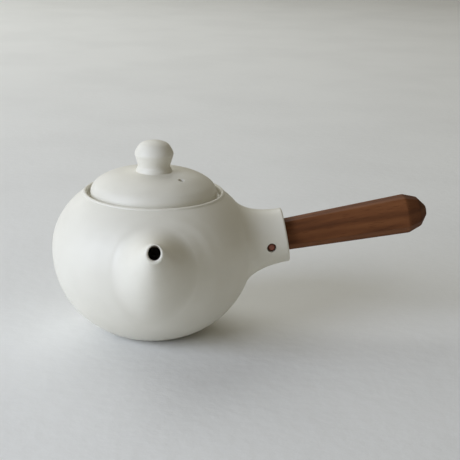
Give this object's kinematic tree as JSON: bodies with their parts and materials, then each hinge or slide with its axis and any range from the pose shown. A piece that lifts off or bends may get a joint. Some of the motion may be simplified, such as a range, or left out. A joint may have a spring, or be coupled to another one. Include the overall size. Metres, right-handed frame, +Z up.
{
  "type": "side-handled teapot",
  "caption": "Round glazed teapot with a lift-off lid, a conical spout with an inner strainer, and a pinned wooden side handle.",
  "frame": {"origin": "middle of the flat base, on the pot's axis", "axes": "+Z up along the pot's axis, -Y the way the spout points, +X the way the handle points"},
  "size_m": [0.1869, 0.1237, 0.0968],
  "materials": {
    "glazed_ceramic": "satin matte white glaze",
    "bare_ceramic": "thin matte glaze",
    "walnut": "oiled walnut",
    "copper": "dulled copper"
  },
  "bodies": {
    "pot": {"pot_body": "glazed_ceramic", "spout": "glazed_ceramic", "strainer": "bare_ceramic", "handle_socket": "glazed_ceramic", "handle_grip": "walnut", "handle_pin": "copper"},
    "lid": {"lid": "glazed_ceramic", "lid_knob": "glazed_ceramic"}
  },
  "joints": [
    {"name": "lid_lift", "type": "slide", "parent": "pot", "child": "lid", "axis": [0, 0, 1], "range_m": [0, 0.05]}
  ]
}
